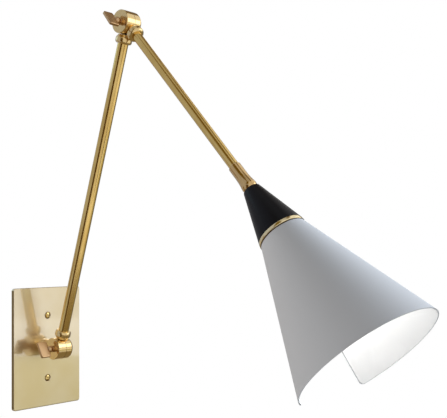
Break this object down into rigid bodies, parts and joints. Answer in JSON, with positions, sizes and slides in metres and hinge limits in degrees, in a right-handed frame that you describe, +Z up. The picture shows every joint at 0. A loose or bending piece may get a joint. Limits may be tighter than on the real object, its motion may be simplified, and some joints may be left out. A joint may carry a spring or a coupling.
{
  "type": "swing arm wall lamp",
  "caption": "Wall lamp with a flat rectangular brass plate, jointed brass arms with wing-screw friction swivels and a cone shade with a black cap on a ball joint.",
  "frame": {"origin": "centre of the wall plate's back face, midway between its two screws", "axes": "+Z up, +Y into the wall, so the lamp stands out along -Y; X runs along the swivels' axes with the wing screws on the -X side"},
  "size_m": [0.1146, 0.4231, 0.3598],
  "materials": {
    "plate_brass": "satin, lightly polished",
    "brass": "brushed and lacquered",
    "steel": "plain zinc plated",
    "nylon": "matte",
    "black_enamel": "satin black enamel",
    "shade_paint": "matte light grey outside, white inside",
    "moulding": "moulded, matte",
    "contact_metal": "plain",
    "bulb_glass": "frosted"
  },
  "bodies": {
    "wall_base": {"wall_plate": "plate_brass", "plate_screws": "brass", "wall_swivel_base": "brass", "wall_lock_washer": "steel", "wall_lock_nut": "steel"},
    "lower_arm": {"wall_swivel_arm": "brass", "wall_friction_washer": "nylon", "lower_arm_tube": "brass", "elbow_swivel_lower": "brass", "elbow_friction_washer": "nylon"},
    "wall_wing": {"wall_wing_screw": "brass"},
    "elbow_wing": {"elbow_wing_screw": "brass"},
    "upper_arm": {"elbow_swivel_upper": "brass", "upper_arm_tube": "brass", "swivel_ferrule": "brass"},
    "head_swivel": {"ball_seat": "nylon"},
    "head": {"ball_stem": "brass", "stem_nut": "steel", "shade_cap": "black_enamel", "trim_ring": "brass", "shade": "shade_paint", "lampholder_body": "moulding", "lampholder_shell": "contact_metal", "lampholder_contact": "contact_metal", "shade_nut": "moulding", "bulb_base": "contact_metal", "bulb_glass": "bulb_glass"}
  },
  "joints": [
    {"name": "wall_pivot", "type": "hinge", "parent": "wall_base", "child": "lower_arm", "pos_m": [0, -0.022, 0], "axis": [1, 0, 0], "range_deg": [-17, 160]},
    {"name": "elbow_pivot", "type": "hinge", "parent": "lower_arm", "child": "upper_arm", "pos_m": [0, -0.11648, 0.29252], "axis": [-1, 0, 0], "range_deg": [0, 238]},
    {"name": "wall_wing_turn", "type": "hinge", "parent": "lower_arm", "child": "wall_wing", "pos_m": [0, -0.022, 0], "axis": [-1, 0, 0], "range_deg": [0, 360]},
    {"name": "elbow_wing_turn", "type": "hinge", "parent": "lower_arm", "child": "elbow_wing", "pos_m": [0, -0.11648, 0.29252], "axis": [-1, 0, 0], "range_deg": [0, 360]},
    {"name": "head_turn", "type": "hinge", "parent": "upper_arm", "child": "head_swivel", "pos_m": [0, -0.25455, 0.14289], "axis": [0, -0.6782, -0.7349], "range_deg": [-175, 175]},
    {"name": "head_tilt", "type": "hinge", "parent": "head_swivel", "child": "head", "pos_m": [0, -0.25455, 0.14289], "axis": [1, 0, 0], "range_deg": [-22, 18]}
  ]
}
